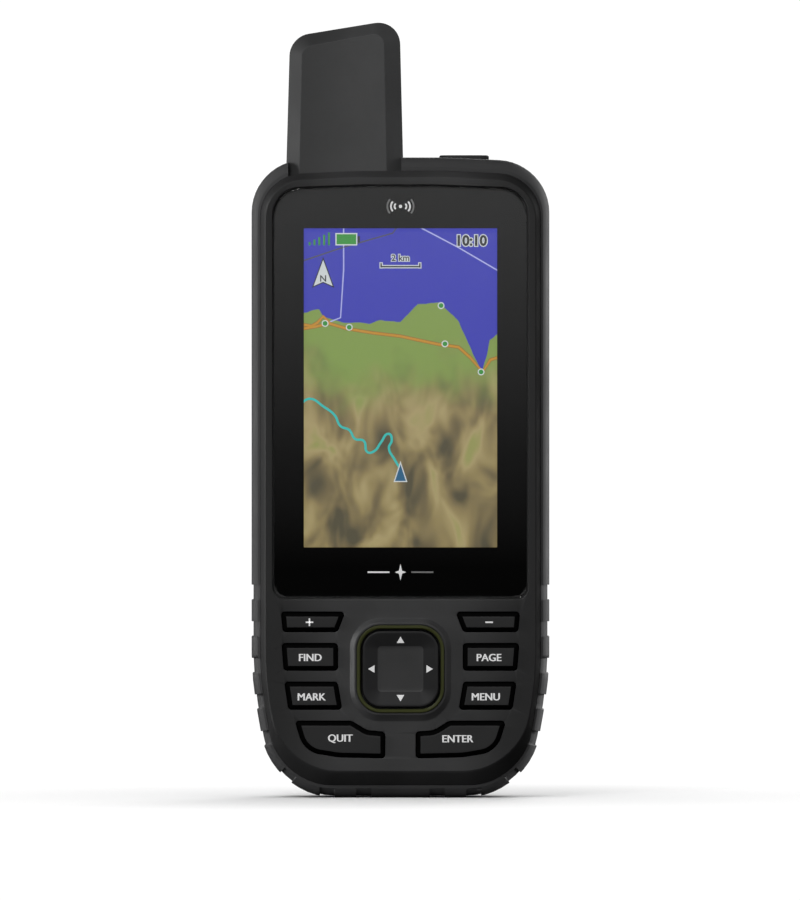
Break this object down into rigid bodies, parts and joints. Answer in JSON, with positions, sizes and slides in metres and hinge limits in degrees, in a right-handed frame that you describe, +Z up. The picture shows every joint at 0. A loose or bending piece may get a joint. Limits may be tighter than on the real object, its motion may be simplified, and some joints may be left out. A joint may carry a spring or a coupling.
{
  "type": "portable aviation gps",
  "caption": "Rugged handheld aviation GPS receiver with a stub antenna, tall colour screen, rocker keypad, ribbed rubber grip and latched battery cover.",
  "frame": {"origin": "middle of the overall box, on the floor under the foot of the upright receiver", "axes": "+Z up the height towards the antenna, -Y out of the screen, +X to the viewer's right"},
  "size_m": [0.0626, 0.035, 0.163],
  "materials": {
    "housing_plastic": "black moulded plastic with a fine spark-eroded grain",
    "grip_rubber": "matt black overmoulded rubber",
    "antenna_plastic": "dark grey plastic, stippled faces and smooth bevels",
    "lens_glass": "black-bordered cover glass, clear over the picture",
    "screen": null,
    "key_plastic": "satin black keycap with white function legends",
    "olive_trim": "olive green satin trim",
    "gasket_foam": "black adhesive foam",
    "silicone": "grey silicone",
    "amber_film": "amber flexible circuit film",
    "white_film": "white breathable film",
    "circuit_board": "green solder mask",
    "dome_steel": "thin sprung steel domes on film",
    "frame_metal": "die-cast light alloy",
    "bare_steel": "stainless steel",
    "black_steel": "black coated steel",
    "black_plastic": "black engineering plastic",
    "clear_plastic": "clear moulded lens",
    "led_resin": "light emitter under pale resin",
    "former_ceramic": "off-white former",
    "copper_strip": "copper strip",
    "gold_contact": "gold plated spring contact",
    "battery_wrap": "dark blue shrink wrap"
  },
  "bodies": {
    "case": {"front_housing": "housing_plastic", "rear_housing": "housing_plastic", "grip_band": "grip_rubber", "antenna_cover": "antenna_plastic", "antenna_former": "former_ceramic", "antenna_helix": "copper_strip", "antenna_feed": "circuit_board", "display_lens": "lens_glass", "lens_gasket": "gasket_foam", "display_module": "screen", "display_ribbon": "amber_film", "rocker_ring": "olive_trim", "keypad_membrane": "silicone", "dome_sheet": "dome_steel", "key_board": "circuit_board", "inner_frame": "frame_metal", "main_board": "circuit_board", "rf_shields": "bare_steel", "board_screws": "bare_steel", "housing_seal": "silicone", "housing_screws": "black_steel", "power_switch": "bare_steel", "io_board": "circuit_board", "board_link": "black_plastic", "usb_port": "bare_steel", "torch_lens": "clear_plastic", "torch_led": "led_resin", "buzzer": "black_plastic", "vent_membrane": "white_film", "battery_pack": "battery_wrap", "battery_contacts": "gold_contact", "card_slot": "bare_steel", "memory_card": "black_plastic"},
    "key_plus": {"key_plus": "key_plastic"},
    "key_minus": {"key_minus": "key_plastic"},
    "key_find": {"key_find": "key_plastic"},
    "key_page": {"key_page": "key_plastic"},
    "key_mark": {"key_mark": "key_plastic"},
    "key_menu": {"key_menu": "key_plastic"},
    "key_quit": {"key_quit": "key_plastic"},
    "key_enter": {"key_enter": "key_plastic"},
    "rocker_tilt": {"rocker_pivot": "bare_steel"},
    "rocker": {"rocker_pad": "key_plastic"},
    "power": {"power_button": "key_plastic"},
    "socket_cap": {"usb_cap": "grip_rubber"},
    "cover": {"battery_cover": "housing_plastic", "cover_seal": "silicone"},
    "latch": {"latch_barrel": "black_steel", "latch_clip": "bare_steel", "latch_tongue": "bare_steel", "latch_screw": "bare_steel"},
    "ring": {"latch_ring": "bare_steel"}
  },
  "joints": [
    {"name": "key_plus_press", "type": "slide", "parent": "case", "child": "key_plus", "axis": [0, 1, 0], "range_m": [0, 0.0006], "stiffness_N_per_m": 400},
    {"name": "key_minus_press", "type": "slide", "parent": "case", "child": "key_minus", "axis": [0, 1, 0], "range_m": [0, 0.0006], "stiffness_N_per_m": 400},
    {"name": "key_find_press", "type": "slide", "parent": "case", "child": "key_find", "axis": [0, 1, 0], "range_m": [0, 0.0006], "stiffness_N_per_m": 400},
    {"name": "key_page_press", "type": "slide", "parent": "case", "child": "key_page", "axis": [0, 1, 0], "range_m": [0, 0.0006], "stiffness_N_per_m": 400},
    {"name": "key_mark_press", "type": "slide", "parent": "case", "child": "key_mark", "axis": [0, 1, 0], "range_m": [0, 0.0006], "stiffness_N_per_m": 400},
    {"name": "key_menu_press", "type": "slide", "parent": "case", "child": "key_menu", "axis": [0, 1, 0], "range_m": [0, 0.0006], "stiffness_N_per_m": 400},
    {"name": "key_quit_press", "type": "slide", "parent": "case", "child": "key_quit", "axis": [0, 1, 0], "range_m": [0, 0.0006], "stiffness_N_per_m": 400},
    {"name": "key_enter_press", "type": "slide", "parent": "case", "child": "key_enter", "axis": [0, 1, 0], "range_m": [0, 0.0006], "stiffness_N_per_m": 400},
    {"name": "rocker_up_down", "type": "hinge", "parent": "case", "child": "rocker_tilt", "pos_m": [0, -0.013, 0.0271], "axis": [1, 0, 0], "range_deg": [-2, 2], "stiffness_Nm_per_rad": 0.1},
    {"name": "rocker_left_right", "type": "hinge", "parent": "rocker_tilt", "child": "rocker", "pos_m": [0, -0.013, 0.0271], "axis": [0, 0, 1], "range_deg": [-2, 2], "stiffness_Nm_per_rad": 0.1},
    {"name": "power_press", "type": "slide", "parent": "case", "child": "power", "axis": [0, 0, -1], "range_m": [0, 0.0006], "stiffness_N_per_m": 500},
    {"name": "socket_cap_open", "type": "hinge", "parent": "case", "child": "socket_cap", "pos_m": [-0.0085, 0.0133, 0.1215], "axis": [0, 0, 1], "range_deg": [0, 110]},
    {"name": "cover_lift", "type": "slide", "parent": "case", "child": "cover", "axis": [0, 1, 0], "range_m": [0, 0.025]},
    {"name": "latch_turn", "type": "hinge", "parent": "cover", "child": "latch", "pos_m": [0, 0.0125, 0.017], "axis": [0, 1, 0], "range_deg": [0, 90]},
    {"name": "ring_fold", "type": "hinge", "parent": "latch", "child": "ring", "pos_m": [0, 0.0125, 0.017], "axis": [-1, 0, 0], "range_deg": [0, 100]}
  ]
}
